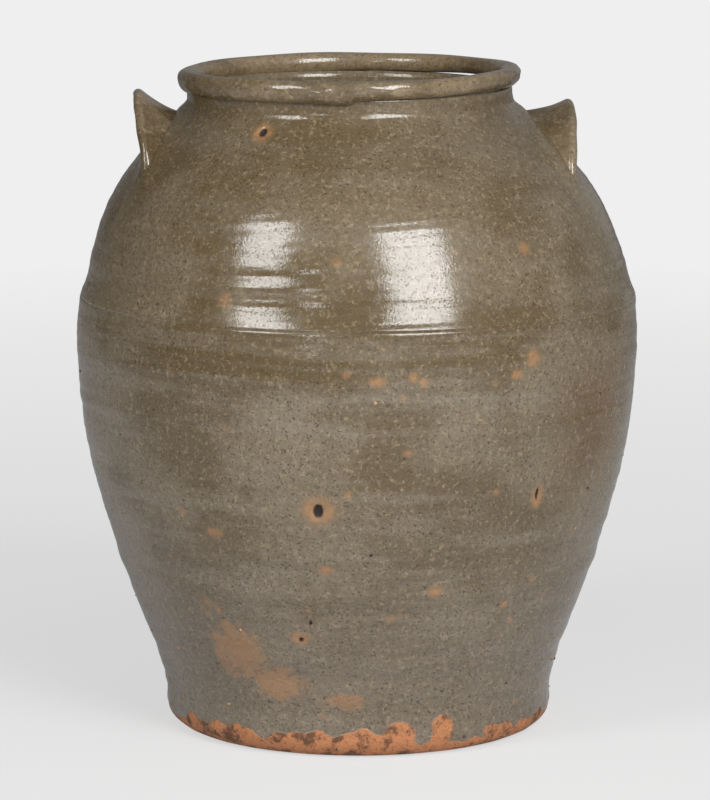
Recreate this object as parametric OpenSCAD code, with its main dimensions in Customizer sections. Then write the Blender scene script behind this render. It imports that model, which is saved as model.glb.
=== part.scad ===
// Wide-mouthed stoneware storage jar, thrown on the wheel in two sections that are luted
// together above the belly, with a coil laid round the mouth and two hooded lugs on the
// shoulder. Up is +Z, the origin is the middle of the foot, and the left lug is at -X.

/* [Foot] */
// Radius of the foot above its rounded heel
foot_r = 112; // [100:0.5:120]
// Radius where the upright foot ends and the wall flares
waist_r = 114; // [108:0.5:120]
// Height at which the upright foot ends and the wall flares
foot_h = 30; // [22:1:40]
// Radius of the rounded heel
heel_r = 12; // [6:0.5:16]
// Thickness of the floor
floor_t = 14; // [9:0.5:20]
// Radius of the inside corner between floor and wall
floor_fillet = 26; // [12:1:36]

/* [Wall] */
// Radius at the top of the ribbed lower wall
ribbed_r = 139; // [132:0.5:146]
// Height of the top of the ribbed lower wall
ribbed_h = 100; // [85:1:115]
// Radius of the swelling below the belly
swell_r = 155.8; // [152:0.2:160]
// Height of the swelling below the belly
swell_h = 160; // [145:1:175]
// Radius of the belly
belly_r = 162; // [158:0.5:172]
// Height of the belly, where the jar is widest
belly_h = 222; // [205:1:234]
// Thickness of the wall near the foot
wall_foot = 13; // [9:0.5:16]
// Thickness of the wall at the belly seam
wall_seam = 10; // [7:0.5:13]

/* [Belly seam] */
// Height of the seam between the two thrown sections
seam_h = 250; // [240:1:262]
// Radius at the seam, without its ridge
seam_r = 159.4; // [156:0.2:162]
// How far the ridge over the seam stands proud
seam_ridge = 1; // [0:0.1:2]
// Half the height of that ridge
seam_ridge_w = 5; // [3:0.5:9]
// Angle at which the upper section leans towards the left lug
lean = 1.2; // [0:0.1:2]
// How far the upper section sits off centre towards the left lug
upper_shift = 1.8; // [0:0.1:2.5]
// Width of the tongue that keys one section into the other
key_w = 5; // [3:0.5:6]
// Depth of that tongue
key_d = 4; // [2:0.5:6]
// Thickness of the slip that lutes one piece to the next
slip = 0.3; // [0.2:0.05:0.5]

/* [Shoulder and neck] */
// Radius of the round of the shoulder
shoulder_r = 144; // [138:0.5:150]
// Height of the round of the shoulder
shoulder_h = 300; // [288:1:308]
// Radius of the slope above the shoulder
slope_r = 125.5; // [121:0.5:131]
// Height of the slope above the shoulder
slope_h = 328; // [320:1:334]
// Radius of the ledge at the base of the neck
ledge_r = 103; // [99:0.5:108]
// Height of the ledge at the base of the neck
ledge_h = 350; // [344:1:356]
// Radius of the waist of the neck, under the rim
neck_r = 94; // [91:0.5:96]
// Height of the neck, from its ledge to the seat of the rim
neck_h = 19; // [16:0.5:24]
// Height over which the wall draws in from the ledge to the waist of the neck
neck_draw = 11.5; // [8:0.5:14]
// Thickness of the wall of the neck
wall_neck = 7.5; // [6:0.5:9]

/* [Rim] */
// Outer radius of the coil round the mouth
rim_r = 98.6; // [97:0.2:103]
// Height of that coil before it is pressed onto the neck
rim_coil_h = 15; // [14:0.5:18]
// How far the coil stands above the neck, in the middle of its seat
rim_h = 11; // [9:0.5:12.5]
// Squareness of the coil's section, where 2 is an ellipse
rim_power = 2.3; // [2:0.1:3]
// Angle of the seat of the rim, lower towards the left lug
rim_wedge = 0.8; // [0:0.1:1.5]
// Depth of the step under the rim where the coil's ends lap at the front
lap_d = 1.5; // [0.8:0.1:2]
// Angle over which the lapped end tapers out
lap_angle = 80; // [50:5:100]

/* [Lugs] */
// Width of a lug from end to end
lug_w = 96; // [84:1:110]
// Thickness of a lug where it leaves the shoulder
lug_root_t = 10; // [8:0.5:13]
// Thickness of a lug at its free edge
lug_edge_t = 6; // [4:0.5:8]
// Upturn of the crown, where 1 is straight
lug_upturn = 1.7; // [1:0.1:2]
// How far below the ledge the left lug's ends run out
left_lug_drop = 23; // [20:0.5:28]
// How far below the ledge the right lug's ends run out
right_lug_drop = 29; // [25:0.5:34]
// Height of the left lug's crown above its ends
left_lug_rise = 40; // [34:0.5:43]
// Height of the right lug's crown above its ends
right_lug_rise = 39.5; // [34:0.5:43]
// How far the left lug's crown leans in from its ends
left_lug_in = 6; // [0:0.5:10]
// How far the right lug's crown leans in from its ends
right_lug_in = 8; // [0:0.5:12]
// Height above the ledge at which the left lug's crown is luted on
left_lug_root = 5.5; // [1:0.5:7]
// Height above the ledge at which the right lug's crown is luted on
right_lug_root = 2.5; // [1:0.5:6]
// Angle by which the left lug is turned to the front
left_lug_turn = 3; // [-5:0.5:8]
// Angle by which the right lug is turned to the front
right_lug_turn = -1; // [-5:0.5:8]

/* [Hidden] */
$fn = 96;

glaze = "#736b54";
rim_glaze = "#7d715a";
bare_clay = "#8a6a4a";

// Steps of the outline between two stations, of its round corners and of the coil's section
steps = 9;
corner_steps = 8;
coil_steps = 24;
// Length by which a cutter runs past the faces it cuts through
beyond = 30;
// Least distance between two points of the inner outline
least_step = 1;
// Height on either side of a point over which the outline's slope is taken
slope_step = 0.5;

// Turns of a lug's arch: where its ends meet the shoulder, and where the slab stops inside it
lug_turn_end = 70;
lug_turn_past = 84;
// Facets of a lug round its arch, and from its root to its free edge
lug_turns = 30;
lug_reaches = 7;
// Depth of the slab's root inside the wall, and how far its free edge bulges
lug_root_in = 8;
lug_nose = 1.5;
// Reach on either side of a point over which the slab's slope is taken
reach_step = 0.02;

seat_h = ledge_h + neck_h;
top_h = seat_h + rim_h;
mouth_r = neck_r - wall_neck;

// Stations of the outer outline, from the foot to the seat of the rim, as height and radius
stations = [
    [heel_r, foot_r],
    [foot_h, waist_r],
    [ribbed_h, ribbed_r],
    [swell_h, swell_r],
    [belly_h, belly_r],
    [seam_h, seam_r],
    [shoulder_h, shoulder_r],
    [slope_h, slope_r],
    [ledge_h, ledge_r],
    [ledge_h + neck_draw, neck_r],
    [seat_h + beyond, neck_r]
];
last = len(stations) - 1;

function mix(a, b, t) = a + (b - a) * t;

// Slope of the outline at a station, as radius over height
function station_slope(i) = i == 0 || i >= last - 1 ? 0
    : (stations[i + 1][1] - stations[i - 1][1]) / (stations[i + 1][0] - stations[i - 1][0]);

// Radius on the smooth curve between station i and the next, at the fraction t of its height
function curve_r(i, t) =
    let (h = stations[i + 1][0] - stations[i][0])
    (2 * t ^ 3 - 3 * t ^ 2 + 1) * stations[i][1] + (t ^ 3 - 2 * t ^ 2 + t) * h * station_slope(i)
    + (3 * t ^ 2 - 2 * t ^ 3) * stations[i + 1][1] + (t ^ 3 - t ^ 2) * h * station_slope(i + 1);

// Number of the span of stations in which the height z lies
function span_of(z, i = 0) = i == last - 1 || z < stations[i + 1][0] ? i : span_of(z, i + 1);

// Outer radius at the height z, with the ridge over the seam
function outer_r(z) =
    let (i = span_of(z), t = (z - stations[i][0]) / (stations[i + 1][0] - stations[i][0]))
    curve_r(i, t) + seam_ridge * exp(-((z - seam_h) / seam_ridge_w) ^ 2);

function outer_slope(z) = (outer_r(z + slope_step) - outer_r(z - slope_step)) / (2 * slope_step);

// Wall thickness at the height z
function wall_t(z) = z < seam_h
    ? mix(wall_foot, wall_seam, z / seam_h)
    : mix(wall_seam, wall_neck, min(1, (z - seam_h) / (ledge_h - seam_h)));

// Inner radius at the height z, where the thickness is measured square to the outer face
function inner_r(z) = outer_r(z) - wall_t(z) * sqrt(1 + outer_slope(z) ^ 2);

function arc(centre, r, from, to, n) =
    [for (k = [0:n]) centre + r * [cos(mix(from, to, k / n)), sin(mix(from, to, k / n))]];

// Heights of the outline's points, closer together where its curve is tighter
wall_heights = [
    for (i = [0:last - 2], k = [0:steps - 1]) mix(stations[i][0], stations[i + 1][0], k / steps),
    stations[last - 1][0]
];

// Outline of the whole thrown body, which runs on above the seat of the rim. The round
// corner between floor and wall meets the wall at the angle at which that flares.
module body_outline() {
    flare = atan(outer_slope(floor_t + floor_fillet));
    corner_h = floor_t + floor_fillet * (1 - sin(flare));
    centre = [inner_r(corner_h) - floor_fillet * cos(flare), floor_t + floor_fillet];
    polygon(concat(
        [[0, 0]],
        arc([foot_r - heel_r, heel_r], heel_r, -90, 0, corner_steps),
        [for (z = wall_heights) if (z > heel_r) [outer_r(z), z]],
        [[neck_r, seat_h + beyond], [mouth_r, seat_h + beyond]],
        [for (k = [len(wall_heights) - 1:-1:0]) let (z = wall_heights[k])
            if (z > corner_h + least_step) [inner_r(z), z]],
        arc(centre, floor_fillet, -flare, -90, corner_steps),
        [[0, floor_t]]
    ));
}

// Space that the shoulder fills, grown by the slip, against which a lug is cut
module shoulder_space() {
    heights = [for (z = wall_heights) if (z > seam_h) z];
    rotate_extrude()
        polygon(concat(
            [[0, heights[0]]],
            [for (z = heights) [outer_r(z) + slip * sqrt(1 + outer_slope(z) ^ 2), z]],
            [[neck_r + slip, top_h], [0, top_h]]
        ));
}

// Puts what stands on the seam at the angle of the upper section
module leaning() {
    translate([-upper_shift, 0, seam_h])
        rotate([0, -lean, 0])
            translate([0, 0, -seam_h])
                children();
}

// Half-space below the belly seam, in the upper section's frame
module below_seam() {
    translate([0, 0, -beyond])
        cylinder(r = belly_r + beyond, h = seam_h + beyond);
}

// Half-space above the seat of the rim, in the upper section's frame
module above_seat() {
    translate([0, 0, seat_h])
        rotate([0, -rim_wedge, 0])
            cylinder(r = rim_r + beyond, h = 2 * beyond);
}

// Ring of triangular section that points down from the seam, in the middle of the wall
module seam_key(grown) {
    middle = seam_r - wall_seam / 2;
    rotate_extrude()
        polygon([
            [middle - key_w / 2 - grown, seam_h + grown],
            [middle - key_w / 2 - grown, seam_h],
            [middle, seam_h - key_d - grown],
            [middle + key_w / 2 + grown, seam_h],
            [middle + key_w / 2 + grown, seam_h + grown]
        ]);
}

module lower_section() {
    color(bare_clay)
        difference() {
            intersection() {
                rotate_extrude() body_outline();
                leaning() below_seam();
            }
            leaning() seam_key(slip);
        }
}

module upper_section() {
    color(glaze)
        leaning() {
            difference() {
                rotate_extrude() body_outline();
                below_seam();
                above_seat();
            }
            seam_key(0);
        }
}

// Section of the coil before it is pressed down: an oval whose squareness is rim_power,
// with its inner side smoothed straight down to the neck
module coil_section() {
    half = [(rim_r - mouth_r) / 2, rim_coil_h / 2];
    centre = [rim_r, top_h] - half;
    function oval(angle) = centre + [
        half[0] * sign(cos(angle)) * abs(cos(angle)) ^ (2 / rim_power),
        half[1] * sign(sin(angle)) * abs(sin(angle)) ^ (2 / rim_power)
    ];
    polygon(concat(
        [for (k = [0:coil_steps]) oval(mix(-90, 180, k / coil_steps))],
        [[mouth_r, top_h - rim_coil_h]]
    ));
}

// Wedge under the left half of the coil, deepest at the front, where it ends in a step
module lapped_end() {
    fall = atan(lap_d / (rim_r * sin(lap_angle)));
    intersection() {
        translate([0, 0, seat_h - beyond])
            rotate([0, 0, -90 - lap_angle])
                rotate_extrude(angle = lap_angle)
                    translate([neck_r + slip, 0])
                        square([rim_r - lap_d - neck_r - slip, beyond]);
        translate([0, 0, seat_h])
            rotate([0, -rim_wedge, -90 - lap_angle])
                rotate([-fall, 0, 0])
                    cylinder(r = rim_r + beyond, h = beyond);
    }
}

module rim_coil() {
    color(rim_glaze)
        leaning() {
            intersection() {
                rotate_extrude() coil_section();
                above_seat();
            }
            lapped_end();
        }
}

// Share of the way from the lug's crown to its ends, at a turn
function lug_share(turn) = (sin(turn) / sin(lug_turn_end)) ^ 2;

// Point of the slab's upper face. The turn runs round the arch from end to end, and the
// reach runs out along a radial line from the root, inside the wall, to the free edge.
// The form lists how far the ends drop, the crown's rise, its lean inwards and its root.
function lug_top(turn, reach, form) =
    let (
        drop = form[0],
        rise = form[1],
        crown_in = form[2],
        root_rise = form[3],
        end_h = ledge_h - drop,
        end_r = outer_r(end_h),
        share = lug_share(turn),
        root_r = mix(ledge_r, end_r, share) - lug_root_in,
        root_h = mix(ledge_h + root_rise, end_h, share),
        edge_r = end_r - crown_in * (1 - share),
        edge_h = end_h + rise * (cos(turn) - cos(lug_turn_end)) / (1 - cos(lug_turn_end)),
        r = mix(root_r, edge_r, reach),
        azimuth = asin(lug_w / 2 / end_r) * sin(turn) / sin(lug_turn_end)
    )
    [r * cos(azimuth), r * sin(azimuth), mix(root_h, edge_h, reach ^ lug_upturn)];

// Direction square to the upper face, which points out of the slab
function lug_normal(turn, reach, form) =
    let (
        along = lug_top(turn + 1, reach, form) - lug_top(turn - 1, reach, form),
        outward = lug_top(turn, reach + reach_step, form)
            - lug_top(turn, max(0, reach - reach_step), form),
        square = cross(outward, along)
    )
    square / norm(square);

// One ring of points round the slab's section: upper face, free edge and lower face
function lug_ring(turn, form) =
    let (
        reaches = [for (j = [0:lug_reaches]) j / lug_reaches],
        upper = [for (s = reaches) lug_top(turn, s, form)],
        lower = [for (j = [0:lug_reaches]) upper[j]
            - mix(lug_root_t, lug_edge_t, reaches[j])
            * lug_normal(turn, reaches[j], form)],
        out = upper[lug_reaches] - upper[lug_reaches - 1],
        nose = (upper[lug_reaches] + lower[lug_reaches]) / 2 + out / norm(out) * lug_nose
    )
    concat(upper, [nose], [for (j = [lug_reaches:-1:0]) lower[j]]);

// Slab of a lug at +X, still running into the wall
module lug_slab(form) {
    rings = [for (i = [0:lug_turns])
        lug_ring(mix(-lug_turn_past, lug_turn_past, i / lug_turns), form)];
    n = len(rings[0]);
    polyhedron(
        points = [for (ring = rings) each ring],
        faces = concat(
            [[for (j = [0:n - 1]) j]],
            [[for (j = [n - 1:-1:0]) lug_turns * n + j]],
            [for (i = [0:lug_turns - 1], j = [0:n - 1]) let (a = i * n + j, b = i * n + (j + 1) % n)
                each [[a, a + n, b], [b, a + n, b + n]]]
        )
    );
}

module lug(direction, form) {
    color(glaze)
        leaning()
            difference() {
                rotate([0, 0, direction]) lug_slab(form);
                shoulder_space();
            }
}

module left_lug() {
    lug(180 + left_lug_turn, [left_lug_drop, left_lug_rise, left_lug_in, left_lug_root]);
}

module right_lug() {
    lug(-right_lug_turn, [right_lug_drop, right_lug_rise, right_lug_in, right_lug_root]);
}

lower_section();
upper_section();
rim_coil();
left_lug();
right_lug();
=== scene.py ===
"""Wide-mouthed stoneware storage jar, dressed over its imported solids, in metres.

The jar is thrown in two sections that are luted together above the belly. A coil is laid
round the mouth and two hooded lugs sit on the shoulder. The glaze is a runny wood-ash glaze.
Sizes are in millimetres and become metres where a mesh is made. The front faces -Y.
"""

import logging
import math
from dataclasses import dataclass, field
from enum import Enum

import bpy
import numpy as np
from mathutils.kdtree import KDTree
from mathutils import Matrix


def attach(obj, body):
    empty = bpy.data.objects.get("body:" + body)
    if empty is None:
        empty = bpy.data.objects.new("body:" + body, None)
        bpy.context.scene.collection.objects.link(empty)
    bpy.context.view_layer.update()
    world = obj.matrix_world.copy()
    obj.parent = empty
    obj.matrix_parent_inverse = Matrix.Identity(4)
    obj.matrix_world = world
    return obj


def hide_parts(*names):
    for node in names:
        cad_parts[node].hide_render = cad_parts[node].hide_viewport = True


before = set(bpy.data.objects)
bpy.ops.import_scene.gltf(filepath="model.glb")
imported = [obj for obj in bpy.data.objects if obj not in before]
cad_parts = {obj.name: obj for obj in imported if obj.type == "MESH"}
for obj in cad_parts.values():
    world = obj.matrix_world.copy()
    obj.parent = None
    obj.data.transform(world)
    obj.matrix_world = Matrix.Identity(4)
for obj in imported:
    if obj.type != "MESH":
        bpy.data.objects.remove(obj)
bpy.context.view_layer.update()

LOG = logging.getLogger("jar")
MM = 0.001
FULL_TURN = 2 * math.pi
BODY = "root"


class Side(Enum):
    """Side of the jar on which a lug sits, as its direction in degrees."""

    LEFT = 180.0
    RIGHT = 0.0


class Mark(Enum):
    """Kinds of mark on the glaze, each kept as an attribute of the mesh."""

    HALO = "halo"
    PIT = "pit"
    AMBER = "amber"
    THIN = "thin"
    BARE = "bare"


class Stretch(Enum):
    """How a noise is stretched: round the jar with the throwing, or down with the runs."""

    NONE = (1.0, 1.0, 1.0)
    ROUND = (0.12, 0.12, 1.0)
    DOWN = (1.0, 1.0, 0.25)


class Node(Enum):
    """Kinds of node in use, each as its type, its usual settings and its output."""

    PLACE = ("ShaderNodeTexCoord", {}, "Object")
    AROUND = ("ShaderNodeTexCoord", {}, "Generated")
    AXES = ("ShaderNodeSeparateXYZ", {}, "Z")
    MAPPING = ("ShaderNodeMapping", {}, 0)
    LENGTH = ("ShaderNodeVectorMath", {"operation": "LENGTH"}, 1)
    ATTRIBUTE = ("ShaderNodeAttribute", {}, "Fac")
    NOISE = ("ShaderNodeTexNoise", {}, "Fac")
    LEVELS = ("ShaderNodeMapRange", {}, 0)
    SMOOTH_LEVELS = ("ShaderNodeMapRange", {"interpolation_type": "SMOOTHSTEP"}, 0)
    MIX = ("ShaderNodeMix", {"data_type": "RGBA"}, 2)
    PRODUCT = ("ShaderNodeMath", {"operation": "MULTIPLY"}, 0)
    MULTIPLY = ("ShaderNodeMath", {"operation": "MULTIPLY", "use_clamp": True}, 0)
    ADD = ("ShaderNodeMath", {"operation": "ADD", "use_clamp": True}, 0)
    SUBTRACT = ("ShaderNodeMath", {"operation": "SUBTRACT", "use_clamp": True}, 0)
    MAXIMUM = ("ShaderNodeMath", {"operation": "MAXIMUM", "use_clamp": True}, 0)
    BUMP = ("ShaderNodeBump", {}, 0)
    PRINCIPLED = ("ShaderNodeBsdfPrincipled", {}, 0)
    DIFFUSE = ("ShaderNodeBsdfDiffuse", {}, 0)
    EMISSION = ("ShaderNodeEmission", {}, 0)
    LIGHT_PATH = ("ShaderNodeLightPath", {}, "Is Camera Ray")
    MIX_SHADER = ("ShaderNodeMixShader", {}, 0)
    SURFACE = ("ShaderNodeOutputMaterial", {}, None)
    GROUP_IN = ("NodeGroupInput", {}, "Geometry")
    GROUP_OUT = ("NodeGroupOutput", {}, None)
    NAMED = ("GeometryNodeInputNamedAttribute", {}, 0)
    SCATTER = ("GeometryNodeDistributePointsOnFaces", {}, "Points")
    RANDOM = ("FunctionNodeRandomValue", {}, 1)
    COMBINE = ("ShaderNodeCombineXYZ", {}, 0)
    CRUMB = ("GeometryNodeMeshIcoSphere", {}, "Mesh")
    INSTANCES = ("GeometryNodeInstanceOnPoints", {}, 0)
    REALIZE = ("GeometryNodeRealizeInstances", {}, 0)
    SET_MATERIAL = ("GeometryNodeSetMaterial", {}, 0)


def add(tree: bpy.types.NodeTree, kind: Node, settings: dict | None = None,
        **links: object) -> bpy.types.NodeSocket | None:
    """Adds a node with its settings and links.

    Args:
        tree: the node tree.
        kind: the kind of node.
        settings: attributes of the node to set beside the usual ones.
        links: input name, with _ for a space, or iN for input number N, to a socket or value.

    Returns:
        The node's usual output, or None where it has none.
    """
    type_name, usual, out = kind.value
    node = tree.nodes.new(type_name)
    for name, value in {**usual, **(settings or {})}.items():
        setattr(node, name, value)
    for name, value in links.items():
        key = int(name[1:]) if name[0] == "i" and name[1:].isdigit() else name.replace("_", " ")
        if isinstance(value, bpy.types.NodeSocket):
            tree.links.new(value, node.inputs[key])
        else:
            node.inputs[key].default_value = value
    return None if out is None else node.outputs[out]


def linear(code: str) -> tuple[float, float, float, float]:
    """Linear colour of an sRGB hex value.

    Args:
        code: the value, such as "#8b7b66".

    Returns:
        Red, green, blue and alpha.
    """
    parts = [int(code[i:i + 2], 16) / 255 for i in (1, 3, 5)]
    return (*[p / 12.92 if p <= 0.04045 else ((p + 0.055) / 1.055) ** 2.4 for p in parts], 1.0)


def new_material(name: str) -> tuple[bpy.types.Material, bpy.types.NodeTree]:
    """Makes an empty material.

    Args:
        name: the real material and how it was made.

    Returns:
        The material and its empty node tree.
    """
    material = bpy.data.materials.new(name)
    material.use_nodes = True
    material.node_tree.nodes.clear()
    return material, material.node_tree


def smooth(low: float, high: float, value: np.ndarray) -> np.ndarray:
    """Smooth step.

    Args:
        low: value at which the step starts.
        high: value at which it ends.
        value: the values.

    Returns:
        0 below low, 1 above high, and a smooth rise between.
    """
    t = np.clip((value - low) / (high - low), 0, 1)
    return t * t * (3 - 2 * t)


@dataclass(frozen=True)
class Wave:
    """A wave round the jar: how many there are, their height in mm and their phase."""

    count: int
    size: float
    phase: float = 0.0


def ripple(waves: tuple[Wave, ...], turn: np.ndarray) -> np.ndarray:
    """Returns: the sum of the waves at each angle round the jar, in mm."""
    return sum(w.size * np.sin(w.count * turn + w.phase) for w in waves)


@dataclass(frozen=True)
class Outline:
    """Outer and inner outline of the thrown body, in mm, through named stations."""

    foot_r: float = 112.0
    waist_r: float = 114.0
    foot_h: float = 30.0
    heel_r: float = 12.0
    floor_t: float = 14.0
    floor_fillet: float = 26.0
    ribbed_r: float = 139.0
    ribbed_h: float = 100.0
    swell_r: float = 155.8
    swell_h: float = 160.0
    belly_r: float = 162.0
    belly_h: float = 222.0
    wall_foot: float = 13.0
    wall_seam: float = 10.0
    seam_h: float = 250.0
    seam_r: float = 159.4
    shoulder_r: float = 144.0
    shoulder_h: float = 300.0
    slope_r: float = 125.5
    slope_h: float = 328.0
    ledge_r: float = 103.0
    ledge_h: float = 350.0
    neck_r: float = 94.0
    neck_h: float = 19.0
    neck_draw: float = 11.5
    wall_neck: float = 7.5

    @property
    def seat_h(self) -> float:
        """Height of the seat of the rim."""
        return self.ledge_h + self.neck_h

    def stations(self) -> np.ndarray:
        """Returns: the stations of the outline, as rows of height and radius."""
        return np.array([
            (self.heel_r, self.foot_r),
            (self.foot_h, self.waist_r),
            (self.ribbed_h, self.ribbed_r),
            (self.swell_h, self.swell_r),
            (self.belly_h, self.belly_r),
            (self.seam_h, self.seam_r),
            (self.shoulder_h, self.shoulder_r),
            (self.slope_h, self.slope_r),
            (self.ledge_h, self.ledge_r),
            (self.ledge_h + self.neck_draw, self.neck_r),
            (self.seat_h + self.neck_h, self.neck_r),
        ])

    def outer(self, z: np.ndarray) -> np.ndarray:
        """Smooth outer radius, a Hermite curve through the stations.

        Args:
            z: heights in mm.

        Returns:
            The radii in mm.
        """
        h, r = self.stations().T
        slope = np.zeros(len(h))
        slope[1:-2] = (r[2:-1] - r[:-3]) / (h[2:-1] - h[:-3])
        i = np.clip(np.searchsorted(h, z, side="right") - 1, 0, len(h) - 2)
        span = h[i + 1] - h[i]
        t = np.clip((z - h[i]) / span, 0, 1)
        return (
            (2 * t**3 - 3 * t**2 + 1) * r[i] + (t**3 - 2 * t**2 + t) * span * slope[i]
            + (3 * t**2 - 2 * t**3) * r[i + 1] + (t**3 - t**2) * span * slope[i + 1]
        )

    def slope(self, z: np.ndarray) -> np.ndarray:
        """Returns: the slope of the outer outline, as radius over height."""
        return self.outer(z + 0.5) - self.outer(z - 0.5)

    def inner(self, z: np.ndarray) -> np.ndarray:
        """Inner radius, with the wall measured square to the outer face.

        Args:
            z: heights in mm.

        Returns:
            The radii in mm.
        """
        low = self.wall_foot + (self.wall_seam - self.wall_foot) * z / self.seam_h
        share = np.clip((z - self.seam_h) / (self.ledge_h - self.seam_h), 0, 1)
        high = self.wall_seam + (self.wall_neck - self.wall_seam) * share
        wall = np.where(z < self.seam_h, low, high)
        return self.outer(z) - wall * np.sqrt(1 + self.slope(z) ** 2)


@dataclass(frozen=True)
class Sway:
    """Random waves that close round the jar: number, waves round it, length up it in mm."""

    count: int
    turns: tuple[int, int]
    length: tuple[float, float]

    def build(self, rng: np.random.Generator, turn: np.ndarray, z: np.ndarray) -> np.ndarray:
        """Adds the waves up.

        Args:
            rng: source of the random waves.
            turn: angle round the jar in radians.
            z: height in mm.

        Returns:
            The sum, of about unit size.
        """
        total = np.zeros(np.broadcast(turn, z).shape)
        for _ in range(self.count):
            n = int(rng.integers(self.turns[0], self.turns[1] + 1))
            k = FULL_TURN / rng.uniform(*self.length) * rng.choice([-1, 1])
            total = total + np.sin(n * turn + k * z + rng.uniform(0, FULL_TURN))
        return total / math.sqrt(self.count / 2)


@dataclass(frozen=True)
class ThrowingRings:
    """Rings that the fingers leave, with their spacing in mm and how they drift and climb."""

    spacing: float
    share: float
    drift: float = 1.0
    climb: float = 1.0
    phase: float = 0.0


@dataclass(frozen=True)
class Ridge:
    """A ridge, or a groove where it is negative: height on the jar and relief, in mm."""

    at: float
    relief: float
    wavy: float = 0.0
    width: float = 5.0

    def build(self, z: np.ndarray, drift: np.ndarray) -> np.ndarray:
        """Returns: its relief at each height, in mm, where drift makes it wander."""
        return self.relief * np.exp(-((z - self.at - self.wavy * drift) / self.width) ** 2)


@dataclass(frozen=True)
class HandMade:
    """What the hands leave in the wall: rings, lobes, ridges and a lean, in mm."""

    seed: int = 7
    lobes: Sway = Sway(6, (1, 4), (180, 500))
    drift: Sway = Sway(6, (1, 3), (90, 240))
    swing: Sway = Sway(5, (1, 4), (60, 160))
    lobe_mm: float = 0.35
    drift_mm: float = 2.2
    swing_mean: float = 0.6
    swing_share: float = 0.4
    ring_mm: float = 0.17
    rings: tuple[ThrowingRings, ...] = (
        ThrowingRings(24, 1.0),
        ThrowingRings(13.7, 0.8, 1.4, 1.0, 1.0),
        ThrowingRings(9.1, 0.5, 1.0, -2.0, 2.0),
    )
    fine_mm: float = 0.05
    fine_spacing: float = 5.3
    seam: tuple[Ridge, ...] = (Ridge(250, 0.9, 0.5), Ridge(263, -0.5, 0.5))
    bands: tuple[Ridge, ...] = (Ridge(98, 0.7), Ridge(47, -0.8))
    calm_h: float = 6.0
    calm_rise: float = 20.0
    inset: float = 0.9
    inset_from: float = 60.0
    inset_to: float = 160.0
    lean: tuple[tuple[float, float], ...] = (
        (0, 0.9), (20, 0.6), (60, 0.0), (240, -0.1), (258, 0.5), (272, -0.1), (290, -0.9),
        (320, -2.0), (350, -3.4), (372, -4.5), (382, -4.7),
    )

    def relief(self, turn: np.ndarray, z: np.ndarray) -> np.ndarray:
        """Height of the surface over the smooth outline.

        Args:
            turn: angle round the jar in radians.
            z: height in mm.

        Returns:
            The relief in mm, outwards positive.
        """
        rng = np.random.default_rng(self.seed)
        lobes = self.lobes.build(rng, turn, z)
        drift = self.drift_mm * self.drift.build(rng, turn, z)
        swing = self.swing_mean + self.swing_share * self.swing.build(rng, turn, z)
        rings = sum(
            r.share * np.sin(FULL_TURN * (z + r.drift * drift) / r.spacing
                             + r.climb * turn / FULL_TURN + r.phase)
            for r in self.rings
        )
        fine = np.sin(FULL_TURN * (z + 2 * drift) / self.fine_spacing + 3 * swing)
        bands = sum(r.build(z, drift) for r in self.bands)
        seam = sum(r.build(z, drift) for r in self.seam)
        wall = self.lobe_mm * lobes + self.ring_mm * rings * swing + self.fine_mm * fine + bands
        calm = np.clip((z - self.calm_h) / self.calm_rise, 0, 1)
        return calm * wall + seam - self.inset * smooth(self.inset_from, self.inset_to, z)

    def shift(self, z: np.ndarray) -> np.ndarray:
        """Returns: how far the wall's centre lies towards +X at a height, in mm."""
        heights, shifts = zip(*self.lean)
        return np.interp(z, heights, shifts)


@dataclass(frozen=True)
class Spot:
    """A mark at a place on the wall: angle in degrees, height and half sizes in mm."""

    kind: Mark
    angle: float
    height: float
    width: float
    tall: float
    strength: float = 1.0


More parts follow.
